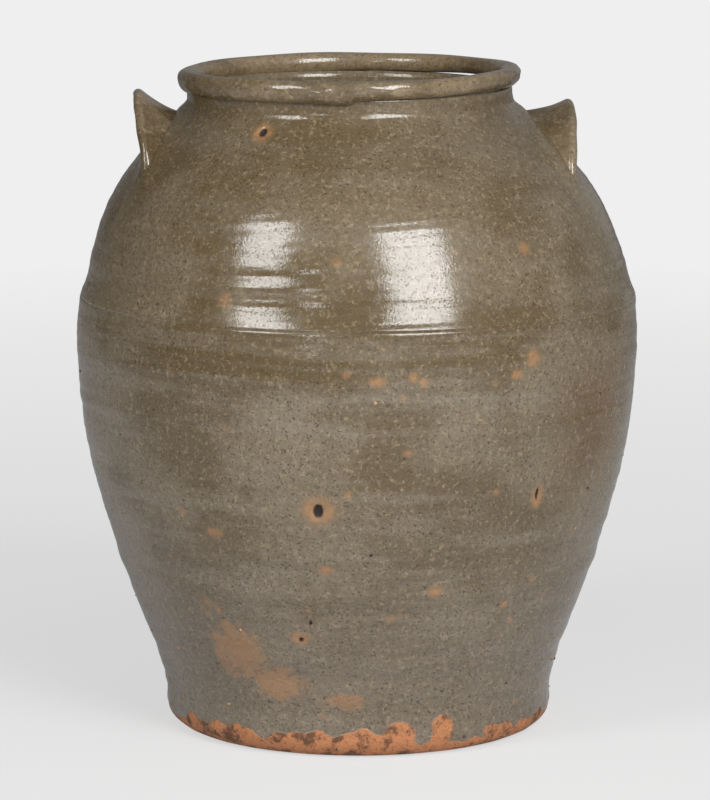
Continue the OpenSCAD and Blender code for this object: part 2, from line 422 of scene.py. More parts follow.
# Marks on the photographed side, listed one by one. The front is at -90 degrees.
SPOTS = (
    Spot(Mark.PIT, -98, 150, 3.2, 4.6), Spot(Mark.HALO, -98, 150, 12, 11),
    Spot(Mark.PIT, -49, 153, 1.4, 5.0), Spot(Mark.HALO, -49, 151, 6, 9),
    Spot(Mark.PIT, -119, 351, 2.6, 2.4), Spot(Mark.HALO, -119, 351, 8, 6),
    Spot(Mark.PIT, -104, 72, 1.8, 1.4), Spot(Mark.HALO, -104, 73, 8, 5),
    Spot(Mark.HALO, -118, 264, 7, 7, 0.7), Spot(Mark.HALO, -94, 287, 6, 5, 0.6),
    Spot(Mark.HALO, -92, 227, 4, 3, 0.8), Spot(Mark.HALO, -86, 223, 7, 4, 0.9),
    Spot(Mark.HALO, -79, 225, 4, 4, 0.9), Spot(Mark.HALO, -77, 222, 4, 4, 0.9),
    Spot(Mark.HALO, -81, 214, 4, 3, 0.7), Spot(Mark.HALO, -80, 183, 5, 3, 0.8),
    Spot(Mark.HALO, -53, 231, 7, 7, 0.9), Spot(Mark.HALO, -57, 223, 5, 4, 0.9),
    Spot(Mark.HALO, -62, 219, 3, 3, 0.7), Spot(Mark.HALO, -51, 290, 6, 5, 0.8),
    Spot(Mark.HALO, -92, 160, 5, 4, 0.7), Spot(Mark.HALO, -60, 157, 4, 4, 0.7),
    Spot(Mark.HALO, -122, 133, 8, 4, 0.9), Spot(Mark.HALO, -117, 195, 4, 4, 0.6),
    Spot(Mark.HALO, -130, 143, 5, 4, 0.8), Spot(Mark.HALO, -97, 115, 6, 4, 0.9),
    Spot(Mark.HALO, -72, 101, 6, 5, 0.9), Spot(Mark.HALO, -82, 86, 5, 4, 0.7),
    Spot(Mark.HALO, -58, 54, 4, 3, 0.6), Spot(Mark.HALO, -45, 101, 5, 4, 0.7),
    Spot(Mark.HALO, -39, 90, 4, 4, 0.7),
    Spot(Mark.AMBER, -30, 190, 34, 44), Spot(Mark.AMBER, -38, 168, 22, 16, 0.8),
    Spot(Mark.THIN, -122, 62, 26, 26), Spot(Mark.THIN, -112, 44, 24, 16),
    Spot(Mark.THIN, -94, 34, 22, 8, 0.9), Spot(Mark.THIN, -128, 88, 18, 14, 0.7),
    Spot(Mark.BARE, -78, 14, 11, 9), Spot(Mark.BARE, -65, 16, 8, 10),
    Spot(Mark.BARE, -48, 11, 8, 4, 0.9),
)


@dataclass(frozen=True)
class RandomSpots:
    """Small halos and pits all round the jar, more of them low down, in mm."""

    seed: int = 11
    count: int = 170
    lowest: float = 14.0
    spread: float = 330.0
    crowding: tuple[float, float] = (1.1, 1.7)
    size: tuple[float, float] = (1.4, 4.2)
    strength: tuple[float, float] = (0.35, 0.95)
    front: tuple[float, float] = (-150.0, -30.0)
    front_pits: float = 0.05
    other_pits: float = 0.12

    def build(self) -> tuple[Spot, ...]:
        """Places the spots, fainter where the photograph has few.

        Returns:
            The spots.
        """
        rng = np.random.default_rng(self.seed)
        spots = []
        for _ in range(self.count):
            angle = rng.uniform(-180, 180)
            height = self.spread * rng.beta(*self.crowding) + self.lowest
            size = rng.uniform(*self.size) * (1.3 - height / 500)
            front = self.front[0] < angle < self.front[1]
            strength = rng.uniform(*self.strength) * (0.55 if front and height > 120 else 1)
            spots.append(Spot(Mark.HALO, angle, height, size, 0.8 * size, strength))
            if rng.random() < (self.front_pits if front else self.other_pits):
                spots.append(Spot(Mark.PIT, angle, height, 0.35 * size, 0.4 * size))
        return tuple(spots)


@dataclass(frozen=True)
class Marks:
    """Amount of each mark at every point of a piece, with the ragged edge of the glaze."""

    outline: Outline
    spots: tuple[Spot, ...]
    edge_h: float = 12.0
    edge_soft: float = 3.0
    edge: tuple[Wave, ...] = (
        Wave(3, 3.0, 1.0), Wave(7, 2.2), Wave(17, 1.6, 2.0), Wave(31, 1.2), Wave(53, 0.8, 1.0),
    )

    def amounts(self, turn: np.ndarray, z: np.ndarray) -> dict[Mark, np.ndarray]:
        """Amount of each mark.

        Args:
            turn: angle round the jar in radians.
            z: height in mm.

        Returns:
            An array from 0 to 1 for each kind of mark.
        """
        found = {kind: np.zeros(turn.shape) for kind in Mark}
        radius = self.outline.outer(z)
        for spot in self.spots:
            turned = (turn - math.radians(spot.angle) + math.pi) % FULL_TURN - math.pi
            across = turned * radius / spot.width
            up = (z - spot.height) / spot.tall
            near = spot.strength * np.exp(-(across**2 + up**2))
            found[spot.kind] = np.maximum(found[spot.kind], near)
        edge = self.edge_h + ripple(self.edge, turn)
        foot = smooth(-self.edge_soft, self.edge_soft, edge - z)
        found[Mark.BARE] = np.maximum(found[Mark.BARE], foot)
        return found


@dataclass(frozen=True)
class Grain:
    """A noise on Object coordinates: width of its cells in mm, detail and stretch."""

    mm: float
    detail: float = 3.0
    rough: float = 0.55
    stretch: Stretch = Stretch.NONE

    def build(self, tree: bpy.types.NodeTree,
              place: bpy.types.NodeSocket) -> bpy.types.NodeSocket:
        """Adds the noise.

        Args:
            tree: the material's node tree.
            place: the Object coordinates.

        Returns:
            The noise, around a half.
        """
        if self.stretch is not Stretch.NONE:
            place = add(tree, Node.MAPPING, Vector=place, Scale=self.stretch.value)
        return add(tree, Node.NOISE, Vector=place, Scale=1 / (self.mm * MM),
                   Detail=self.detail, Roughness=self.rough)


@dataclass(frozen=True)
class Mask:
    """Part of a surface that a noise picks: none at level low and all at level high."""

    grain: Grain
    low: float
    high: float
    top: float = 1.0

    def build(self, tree: bpy.types.NodeTree,
              place: bpy.types.NodeSocket) -> bpy.types.NodeSocket:
        """Adds the noise and its levels.

        Args:
            tree: the material's node tree.
            place: the Object coordinates.

        Returns:
            The amount, from 0 to top.
        """
        return add(tree, Node.SMOOTH_LEVELS, Value=self.grain.build(tree, place),
                   From_Min=self.low, From_Max=self.high, To_Max=self.top)


@dataclass(frozen=True)
class AshGlaze:
    """Wood-ash glaze, dipped and wood-fired: an olive-brown glass full of fine iron specks.

    The glass is glossy with an orange-peel skin, greyer where it is thick and brown where it
    is thin. Where the glaze missed the foot the clay shows, orange and dry.
    """

    name: str
    main: str = "#6f6350"
    brown: str = "#594b34"
    grey: str = "#7b7264"
    low_grey: str = "#72685c"
    speck: str = "#33271a"
    pale_speck: str = "#a08f73"
    halo: str = "#a0744b"
    amber: str = "#5e4424"
    pit: str = "#1c120b"
    clay: str = "#b0744a"
    scorch: str = "#3a2417"
    grey_share: float = 0.5
    clay_share: float = 1.0
    halo_share: float = 0.7
    ior: float = 1.56
    low_band: tuple[float, float] = (0.17, 0.05)
    high_band: tuple[float, float] = (0.24, 0.36)
    # Clouds as wide as a hand, rings with the throwing and runs down the wall
    clouds: Mask = Mask(Grain(60, 4), 0.4, 0.62)
    rings: Mask = Mask(Grain(11, 4, 0.6, Stretch.ROUND), 0.45, 0.68)
    runs: Mask = Mask(Grain(16, 4, 0.6, Stretch.DOWN), 0.52, 0.72)
    broken: Mask = Mask(Grain(9, 5, 0.65, Stretch.DOWN), 0.25, 0.5)
    # Mottle of 3 mm, then dark specks on cells of 1.3 mm and pale ones on cells of 1.6 mm. The
    # real iron and ash specks are finer, and are drawn this coarse so that they show
    pale_mottle: Mask = Mask(Grain(3.2, 3, 0.6), 0.5, 0.75)
    brown_mottle: Mask = Mask(Grain(3.2, 3, 0.6), 0.5, 0.28)
    dark_specks: Mask = Mask(Grain(1.3, 2, 0.5), 0.56, 0.68)
    pale_specks: Mask = Mask(Grain(1.6, 2, 0.5), 0.6, 0.72)
    # Ragged edges of the halos, of the thin glaze and of the bare clay
    halo_edge: Grain = Grain(2.6, 4, 0.65)
    thin_edge: Grain = Grain(7, 5, 0.7)
    bare_edge: Grain = Grain(4.5, 5, 0.7)
    scorched: Mask = Mask(Grain(10, 5, 0.7), 0.48, 0.62)
    gritty: Mask = Mask(Grain(1.6, 3, 0.6), 0.55, 0.7)
    # Skin: orange peel of 1.5 mm with 0.7 mm in it, waves of 6.5 mm where the glass ran, and
    # the clay's tooth of 1.2 mm
    dulling: Mask = Mask(Grain(5, 4, 0.6), 0.3, 0.75, 0.12)
    gloss: float = 0.07
    peel: Grain = Grain(1.5, 2, 0.5)
    fine_peel: Grain = Grain(0.7, 2, 0.6)
    slow_waves: Grain = Grain(6.5, 3, 0.5, Stretch.ROUND)
    tooth: Grain = Grain(1.2, 4, 0.7)

    def build(self) -> bpy.types.Material:
        """Makes the material from its marks, its coats of colour and its skin.

        Returns:
            The material.
        """
        material, tree = new_material(self.name)
        place = add(tree, Node.PLACE)
        mark = {kind: add(tree, Node.ATTRIBUTE, {"attribute_name": kind.value})
                for kind in Mark}
        dark = self.dark_specks.build(tree, place)
        edge = add(tree, Node.ADD, i0=self.halo_edge.build(tree, place), i1=0.35)
        halo = add(tree, Node.MULTIPLY, i0=mark[Mark.HALO], i1=edge)
        halo = add(tree, Node.SMOOTH_LEVELS, Value=halo, From_Min=0.24, From_Max=0.85)
        halo = add(tree, Node.MULTIPLY, i0=halo, i1=self.halo_share)
        edge = add(tree, Node.ADD, i0=self.bare_edge.build(tree, place), i1=0.5)
        bare = add(tree, Node.MULTIPLY, i0=mark[Mark.BARE], i1=edge)
        bare = add(tree, Node.SMOOTH_LEVELS, Value=bare, From_Min=0.4, From_Max=0.6)
        bare = add(tree, Node.MULTIPLY, i0=bare, i1=self.clay_share)
        pit = add(tree, Node.SMOOTH_LEVELS, Value=mark[Mark.PIT], From_Min=0.3, From_Max=0.6)
        colour = self.colour(tree, place, mark, dark, halo)
        colour = self.lay(tree, colour, [(bare, 1.0, self.bare_clay(tree, place)),
                                         (pit, 1.0, linear(self.pit))])
        dull = add(tree, Node.ADD, i0=self.dulling.build(tree, place), i1=self.gloss)
        specked = add(tree, Node.ADD, i0=dark, i1=halo)
        specked = add(tree, Node.MULTIPLY, i0=specked, i1=0.2)
        dry = add(tree, Node.MAXIMUM, i0=bare, i1=pit)
        dry = add(tree, Node.MULTIPLY, i0=dry, i1=0.6)
        dull = add(tree, Node.ADD, i0=dull, i1=specked)
        dull = add(tree, Node.ADD, i0=dull, i1=dry)
        shader = add(tree, Node.PRINCIPLED, Base_Color=colour, Roughness=dull, IOR=self.ior,
                     Normal=self.skin(tree, place, dark, bare))
        add(tree, Node.SURFACE, Surface=shader)
        return material

    def lay(self, tree: bpy.types.NodeTree, colour: object,
            coats: list[tuple[bpy.types.NodeSocket, float, object]]) -> bpy.types.NodeSocket:
        """Lays coats of colour over each other.

        Args:
            tree: the material's node tree.
            colour: the colour under them.
            coats: where each lies, its share there and its colour.

        Returns:
            The colour.
        """
        for where, share, coat in coats:
            share = add(tree, Node.MULTIPLY, i0=where, i1=share)
            colour = add(tree, Node.MIX, i0=share, i6=colour, i7=coat)
        return colour

    def colour(self, tree: bpy.types.NodeTree, place: bpy.types.NodeSocket,
               mark: dict[Mark, bpy.types.NodeSocket], dark: bpy.types.NodeSocket,
               halo: bpy.types.NodeSocket) -> bpy.types.NodeSocket:
        """Colour of the glass, from its clouds to its specks, halos and thin patches.

        Args:
            tree: the material's node tree.
            place: the Object coordinates.
            mark: amount of each mark.
            dark: amount of dark specks.
            halo: amount of the orange halos where the clay blew through.

        Returns:
            The colour.
        """
        height = add(tree, Node.AXES, Vector=place)
        low, high = (
            add(tree, Node.SMOOTH_LEVELS, Value=height, From_Min=start, From_Max=end)
            for start, end in (self.low_band, self.high_band)
        )
        amber = add(tree, Node.MULTIPLY, i0=mark[Mark.AMBER], i1=self.broken.build(tree, place))
        thin = add(tree, Node.MULTIPLY, i0=mark[Mark.THIN], i1=self.thin_edge.build(tree, place))
        thin = add(tree, Node.SMOOTH_LEVELS, Value=thin, From_Min=0.26, From_Max=0.42)
        return self.lay(tree, linear(self.main), [
            (self.clouds.build(tree, place), 1.0, linear(self.brown)),
            (self.rings.build(tree, place), self.grey_share, linear(self.grey)),
            (low, 0.65, linear(self.low_grey)),
            (high, 0.3, linear(self.brown)),
            (self.runs.build(tree, place), 0.35, linear(self.brown)),
            (amber, 0.75, linear(self.amber)),
            (self.pale_mottle.build(tree, place), 0.35, linear(self.pale_speck)),
            (self.brown_mottle.build(tree, place), 0.4, linear(self.brown)),
            (dark, 0.75, linear(self.speck)),
            (self.pale_specks.build(tree, place), 0.28, linear(self.pale_speck)),
            (halo, 1.0, linear(self.halo)),
            (thin, 0.5, linear(self.halo)),
        ])

    def bare_clay(self, tree: bpy.types.NodeTree,
                  place: bpy.types.NodeSocket) -> bpy.types.NodeSocket:
        """Colour of the bare clay, orange with scorched patches and dark grit.

        Args:
            tree: the material's node tree.
            place: the Object coordinates.

        Returns:
            The colour.
        """
        return self.lay(tree, linear(self.clay), [
            (self.scorched.build(tree, place), 0.8, linear(self.scorch)),
            (self.gritty.build(tree, place), 0.6, linear(self.scorch)),
        ])

    def skin(self, tree: bpy.types.NodeTree, place: bpy.types.NodeSocket,
             dark: bpy.types.NodeSocket, bare: bpy.types.NodeSocket) -> bpy.types.NodeSocket:
        """Bumps of the skin: orange peel, slow waves and the tooth of the bare clay.

        Args:
            tree: the material's node tree.
            place: the Object coordinates.
            dark: amount of dark specks, which sink in.
            bare: amount of bare clay.

        Returns:
            The normal.
        """
        fine = add(tree, Node.MULTIPLY, i0=self.fine_peel.build(tree, place), i1=0.35)
        peel = add(tree, Node.ADD, i0=self.peel.build(tree, place), i1=fine)
        sunk = add(tree, Node.MULTIPLY, i0=dark, i1=0.25)
        peel = add(tree, Node.SUBTRACT, i0=peel, i1=sunk)
        normal = add(tree, Node.BUMP, Height=peel, Strength=0.4, Distance=0.18 * MM)
        normal = add(tree, Node.BUMP, Height=self.slow_waves.build(tree, place), Strength=0.4,
                     Distance=0.4 * MM, Normal=normal)
        tooth = add(tree, Node.MULTIPLY, i0=bare, i1=self.tooth.build(tree, place))
        return add(tree, Node.BUMP, Height=tooth, Strength=0.8, Distance=0.8 * MM,
                   Normal=normal)


@dataclass(frozen=True)
class KilnGrit:
    """Kiln grit: crumbs of fired clay and ash that fell on the wet glaze and stuck.

    They look dull, most of them dark, with pale ones among them.
    """

    name: str = "kiln_grit_fired_clay"
    colour: str = "#4a3626"
    pale: str = "#a98a63"
    grain: Grain = Grain(4, 2.0, 0.5)
    roughness: float = 0.5

    def build(self) -> bpy.types.Material:
        """Makes the material.

        Returns:
            The material.
        """
        material, tree = new_material(self.name)
        grain = self.grain.build(tree, add(tree, Node.PLACE))
        share = add(tree, Node.LEVELS, Value=grain, From_Min=0.45, From_Max=0.6)
        colour = add(tree, Node.MIX, i0=share, i6=linear(self.colour), i7=linear(self.pale))
        bump = add(tree, Node.BUMP, Height=grain, Strength=0.4, Distance=0.2 * MM)
        shader = add(tree, Node.PRINCIPLED, Base_Color=colour, Roughness=self.roughness,
                     Normal=bump)
        add(tree, Node.SURFACE, Surface=shader)
        return material


def place_in_scene(obj: bpy.types.Object) -> bpy.types.Object:
    """Returns: the same object, put in the scene."""
    bpy.context.scene.collection.objects.link(obj)
    return obj


def grid_mesh(name: str, rings: np.ndarray, closed: bool, marks: dict[Mark, np.ndarray],
              material: bpy.types.Material) -> bpy.types.Object:
    """Mesh from rings of points round the jar.

    Args:
        name: name of the piece.
        rings: points in mm, as rings by segments by 3. Faces point out when the rings run up
            the outer face.
        closed: True where the last ring joins the first, False where both ends close on a pole.
        marks: amount of each mark at the same points.
        material: the finish.

    Returns:
        The object, at the origin.
    """
    n, m = rings.shape[:2]
    points = rings.reshape(-1, 3)
    flat_marks = {kind: amount.reshape(-1) for kind, amount in marks.items()}
    row = np.arange(n if closed else n - 1)[:, None]
    col = np.arange(m)[None, :]
    above, beside = (row + 1) % n, (col + 1) % m
    quads = np.stack([row * m + col, row * m + beside, above * m + beside, above * m + col], -1)
    faces = [tuple(int(v) for v in quad) for quad in quads.reshape(-1, 4)]
    if not closed:
        points = np.vstack([points, rings[0].mean(0), rings[-1].mean(0)])
        flat_marks = {k: np.append(v, [v[0], v[-1]]) for k, v in flat_marks.items()}
        for j in range(m):
            k = (j + 1) % m
            faces.append((n * m, k, j))
            faces.append((n * m + 1, (n - 1) * m + j, (n - 1) * m + k))
    mesh = bpy.data.meshes.new(name)
    mesh.from_pydata((points * MM).tolist(), [], faces)
    mesh.polygons.foreach_set("use_smooth", [True] * len(mesh.polygons))
    for kind, amount in flat_marks.items():
        layer = mesh.attributes.new(kind.value, "FLOAT", "POINT")
        layer.data.foreach_set("value", amount.astype(np.float32))
    mesh.materials.append(material)
    mesh.update()
    return place_in_scene(bpy.data.objects.new(name, mesh))


def is_inside_out(mesh: bpy.types.Mesh) -> bool:
    """Tells whether a closed mesh has a negative volume.

    Args:
        mesh: the mesh.

    Returns:
        True where its faces point inwards.
    """
    mesh.calc_loop_triangles()
    co = np.empty(len(mesh.vertices) * 3)
    mesh.vertices.foreach_get("co", co)
    corners = np.empty(len(mesh.loop_triangles) * 3, np.int32)
    mesh.loop_triangles.foreach_get("vertices", corners)
    a, b, c = co.reshape(-1, 3)[corners.reshape(-1, 3).T]
    return float(np.einsum("ij,ij->i", a, np.cross(b, c)).sum()) < 0


def keep(obj: bpy.types.Object, slot: str, *nodes: str) -> bpy.types.Object:
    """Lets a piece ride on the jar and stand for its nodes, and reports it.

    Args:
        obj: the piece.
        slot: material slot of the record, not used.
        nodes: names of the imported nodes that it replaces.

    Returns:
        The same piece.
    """
    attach(obj, BODY)
    if nodes:
        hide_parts(*nodes)
    LOG.info("%s: %d vertices", obj.name, len(obj.data.vertices))
    return obj


@dataclass
class Wall:
    """The thrown wall, as points round the jar at any height, in mm."""

    outline: Outline
    hand: HandMade
    marks: Marks
    segments: int = 480
    pit_depth: float = 2.2
    pit_edge: tuple[float, float] = (0.2, 0.8)
    inner_ring_mm: float = 0.6
    inner_spacing: float = 14.0
    turn: np.ndarray = field(init=False)

    def __post_init__(self) -> None:
        """Sets the angles of the points round the jar."""
        self.turn = np.linspace(0, FULL_TURN, self.segments, endpoint=False)

    def level(self, value: float) -> np.ndarray:
        """Returns: the same value at each angle."""
        return np.full(self.segments, value)

    def ring(self, radius: np.ndarray, z: np.ndarray) -> np.ndarray:
        """Returns: points at a radius and height for each angle, with the jar's lean."""
        x = radius * np.cos(self.turn) + self.hand.shift(z)
        return np.stack([x, radius * np.sin(self.turn), z], -1)

    def outer_ring(self, height: float) -> np.ndarray:
        """Ring of the outer face, with the marks of the hands and the pits.

        Args:
            height: its height in mm.

        Returns:
            The points.
        """
        z = self.level(height)
        pit = smooth(*self.pit_edge, self.marks.amounts(self.turn, z)[Mark.PIT])
        relief = self.hand.relief(self.turn, z) - self.pit_depth * pit
        return self.ring(self.outline.outer(z) + relief, z)

    def inner_ring(self, height: float) -> np.ndarray:
        """Ring of the inner face, with throwing rings.

        Args:
            height: its height in mm.

        Returns:
            The points.
        """
        z = self.level(height)
        climb = FULL_TURN * height / self.inner_spacing + self.turn
        return self.ring(self.outline.inner(z) + self.inner_ring_mm * np.sin(climb), z)

    def marks_of(self, rings: np.ndarray, outer: int) -> dict[Mark, np.ndarray]:
        """Marks at the points of a set of rings.

        Args:
            rings: the points in mm.
            outer: number of rings on the outer face, which come first. The rest are unmarked.

        Returns:
            The amount of each mark.
        """
        found = self.marks.amounts(np.broadcast_to(self.turn, rings.shape[:2]), rings[..., 2])
        for amount in found.values():
            amount[outer:] = 0
        return found


@dataclass
class LowerSection:
    """Floor and lower wall, up to the seam above the belly. Sizes are in mm."""

    wall: Wall
    outer_rings: int = 150
    inner_rings: int = 34
    heel_rings: int = 9
    fillet_rings: int = 8
    under_rings: int = 5
    floor_rings: int = 2
    pole_r: float = 4.0
    flat_gap: float = 4.0
    foot_clear: float = 0.05
    rough: tuple[Wave, ...] = (Wave(5, 0.5), Wave(23, 0.3))
    rough_fade: float = 6.0

    def build(self, glaze: bpy.types.Material) -> bpy.types.Object:
        """Builds the section from the middle of its foot to the middle of its floor.

        Args:
            glaze: the finish.

        Returns:
            The piece.
        """
        outside = self.outside()
        stack = np.array(outside + self.inside())
        marks = self.wall.marks_of(stack, len(outside))
        return keep(grid_mesh("jar_lower_section", stack, False, marks, glaze), "glazed_body",
                    "lower_section")

    def outside(self) -> list[np.ndarray]:
        """Underside, heel and outer wall.

        Returns:
            The rings, outwards and then up.
        """
        line, wall = self.wall.outline, self.wall
        rough = ripple(self.rough, wall.turn)
        flat_r = line.foot_r - line.heel_r
        rings = [
            wall.ring(wall.level(radius), wall.level(self.foot_clear))
            for radius in np.linspace(self.pole_r, flat_r - self.flat_gap, self.under_rings)
        ]
        for k in range(self.heel_rings):
            angle = math.radians(-90 + 90 * k / self.heel_rings)
            radius = flat_r + line.heel_r * math.cos(angle) + rough * (1 + k) / self.heel_rings
            rings.append(wall.ring(radius, wall.level(line.heel_r * (1 + math.sin(angle)))))
        start = line.heel_r + 0.01
        for height in np.linspace(start, line.seam_h, self.outer_rings):
            ring = wall.outer_ring(height)
            fade = math.exp(-(height - start) / self.rough_fade)
            ring[:, 0] += fade * rough * np.cos(wall.turn)
            ring[:, 1] += fade * rough * np.sin(wall.turn)
            rings.append(ring)
        return rings

    def inside(self) -> list[np.ndarray]:
        """Inner wall, rounded corner and floor.

        Returns:
            The rings, down and then inwards.
        """
        line, wall = self.wall.outline, self.wall
        corner = line.floor_t + line.floor_fillet
        rings = [wall.inner_ring(height)
                 for height in np.linspace(line.seam_h, corner, self.inner_rings)]
        edge = float(line.inner(np.array([corner]))[0]) - line.floor_fillet
        for k in range(1, self.fillet_rings + 1):
            angle = math.radians(90 * k / self.fillet_rings)
            rings.append(wall.ring(wall.level(edge + line.floor_fillet * math.cos(angle)),
                                   wall.level(corner - line.floor_fillet * math.sin(angle))))
        for radius in np.linspace(edge - self.flat_gap, self.pole_r, self.floor_rings):
            rings.append(wall.ring(wall.level(radius), wall.level(line.floor_t)))
        return rings


@dataclass(frozen=True)
class LugForm:
    """Sizes of one lug in mm, and how far it is turned from its side in degrees."""

    side: Side
    node: str
    drop: float
    rise: float
    crown_in: float
    root_rise: float
    turned: float


@dataclass
class Lug:
    """A hooded crescent handle: a slab bent into an arch over the fingers, in mm."""

    wall: Wall
    form: LugForm
    width: float = 96.0
    root_t: float = 10.0
    edge_t: float = 6.0
    upturn: float = 1.7
    root_in: float = 8.0
    end_turn: float = 70.0
    past_turn: float = 86.0
    lean_h: float = 340.0
    turns: int = 150
    reaches: int = 26
    nose: int = 9
    reach_step: float = 0.02
    edge_wobble: float = 0.35
    skin_wobble: float = 0.25
    rubbed: float = 0.16
    rubs: int = 29

    def top(self, turn: np.ndarray, reach: np.ndarray) -> np.ndarray:
        """Upper face of the slab.

        Args:
            turn: turn round the arch in degrees.
            reach: 0 at the root and 1 at the free edge.

        Returns:
            Points in mm.
        """
        line, form = self.wall.outline, self.form
        end_h = line.ledge_h - form.drop
        end_r = float(line.outer(np.array([end_h]))[0])
        crown = math.sin(math.radians(self.end_turn))
        share = (np.sin(np.radians(turn)) / crown) ** 2
        root_r = line.ledge_r + (end_r - line.ledge_r) * share - self.root_in
        root_h = line.ledge_h + form.root_rise
        root_h = root_h + (end_h - root_h) * share
        edge_r = end_r - form.crown_in * (1 - share)
        low = math.cos(math.radians(self.end_turn))
        edge_h = end_h + form.rise * (np.cos(np.radians(turn)) - low) / (1 - low)
        radius = root_r + (edge_r - root_r) * reach
        azimuth = math.asin(self.width / 2 / end_r) * np.sin(np.radians(turn)) / crown
        azimuth = azimuth + math.radians(form.side.value + form.turned)
        height = root_h + (edge_h - root_h) * np.maximum(reach, 0) ** self.upturn
        shift = self.wall.hand.shift(np.full(height.shape, self.lean_h))
        return np.stack([radius * np.cos(azimuth) + shift, radius * np.sin(azimuth), height], -1)

    def faces(self) -> tuple[np.ndarray, np.ndarray]:
        """Both faces of the slab, a little uneven.

        Returns:
            The upper and the lower face, as turns by reaches by 3.
        """
        turn = np.linspace(-self.past_turn, self.past_turn, self.turns)[:, None]
        reach = np.linspace(0, 1, self.reaches)[None, :]
        turn, reach = np.broadcast_arrays(turn, reach)
        step = self.reach_step
        upper = self.top(turn, reach)
        along = self.top(turn + 1, reach) - self.top(turn - 1, reach)
        outward = self.top(turn, reach + step) - self.top(turn, np.maximum(reach - step, 0))
        square = np.cross(outward, along)
        square /= np.linalg.norm(square, axis=-1, keepdims=True)
        square *= np.sign(square[self.turns // 2, self.reaches // 2, 2])
        thick = self.root_t + (self.edge_t - self.root_t) * reach
        wobble = self.edge_wobble * np.sin(turn / 9 + 1) * reach
        wobble = wobble + self.skin_wobble * np.sin(turn / 4 + 5 * reach)
        upper = upper + square * wobble[..., None]
        return upper, upper - square * thick[..., None]

    def build(self, glaze: bpy.types.Material) -> bpy.types.Object:
        """Builds the lug as one closed skin, with a round free edge where the glaze is thin.

        Args:
            glaze: the finish.

        Returns:
            The piece.
        """
        upper, lower = self.faces()
        middle = (upper[:, -1] + lower[:, -1]) / 2
        half = (upper[:, -1] - lower[:, -1]) / 2
        out = upper[:, -1] - upper[:, -2]
        out /= np.linalg.norm(out, axis=-1, keepdims=True)
        nose = []
        for k in range(1, self.nose):
            angle = math.pi * k / self.nose
            bulge = out * (0.5 * self.edge_t * math.sin(angle))
            nose.append(middle + half * math.cos(angle) + bulge)
        rings = np.concatenate([upper, np.stack(nose, 1), lower[:, ::-1]], 1)[::-1]
        marks = {kind: np.zeros(rings.shape[:2]) for kind in Mark}
        edge = slice(self.reaches, self.reaches + self.nose)
        turn = np.arctan2(rings[:, edge, 1], rings[:, edge, 0])
        marks[Mark.HALO][:, edge] = self.rubbed * (0.5 + 0.5 * np.sin(self.rubs * turn))
        obj = grid_mesh(f"jar_{self.form.node}", rings, False, marks, glaze)
        if is_inside_out(obj.data):
            obj.data.flip_normals()
        return keep(obj, "glazed_lug", self.form.node)


@dataclass
class UpperSection:
    """Shoulder and neck, from the seam to the seat of the rim. Sizes are in mm."""

    wall: Wall
    lugs: tuple[Lug, ...]
    outer_rings: int = 118
    inner_rings: int = 30
    seat_lap: float = 0.5
    smear: float = 2.6
    smear_reach: float = 7.5
    smear_out: float = 0.75
    smear_up: float = 0.6
    root_gap: float = 2.5
    smear_from_h: float = 300.0
    smear_from_x: float = 60.0
    smear_to_y: float = 75.0

    def build(self, glaze: bpy.types.Material) -> bpy.types.Object:
        """Builds the section, with clay smeared up to the roots of the lugs.

        Args:
            glaze: the finish.

        Returns:
            The piece.
        """
        line, wall = self.wall.outline, self.wall
        top = line.seat_h + self.seat_lap
        heights = np.linspace(line.seam_h, top, self.outer_rings)
        outer = [wall.outer_ring(height) for height in heights]
        heights = np.linspace(top, line.seam_h, self.inner_rings)
        stack = np.array(outer + [wall.inner_ring(height) for height in heights])
        self.smear_roots(stack[:self.outer_rings])
        marks = wall.marks_of(stack, self.outer_rings)
        return keep(grid_mesh("jar_upper_section", stack, True, marks, glaze),
                    "glazed_shoulder", "upper_section")

    def root_points(self) -> KDTree:
        """Finds the points of the lugs that lie near the wall.

        Returns:
            The points, ready to be searched.
        """
        skins = np.concatenate([face.reshape(-1, 3) for lug in self.lugs for face in lug.faces()])
        shift = self.wall.hand.shift(skins[:, 2])
        off = np.hypot(skins[:, 0] - shift, skins[:, 1]) - self.wall.outline.outer(skins[:, 2])
        near = skins[np.abs(off) < self.root_gap]
        tree = KDTree(len(near))
        for i, point in enumerate(near):
            tree.insert(point, i)
        tree.balance()
        return tree

    def smear_roots(self, outer: np.ndarray) -> None:
        """Raises the outer face where it meets a lug, as a smeared fillet.

        Args:
            outer: rings of the outer face in mm, changed in place.
        """
        roots = self.root_points()
        for ring in outer:
            if ring[0, 2] < self.smear_from_h:
                continue
            for point in ring:
                if abs(point[0]) < self.smear_from_x or abs(point[1]) > self.smear_to_y:
                    continue
                gap = roots.find(point)[2]
                lift = self.smear * math.exp(-(gap / self.smear_reach) ** 2)
                point[:2] *= 1 + self.smear_out * lift / math.hypot(point[0], point[1])
                point[2] += self.smear_up * lift


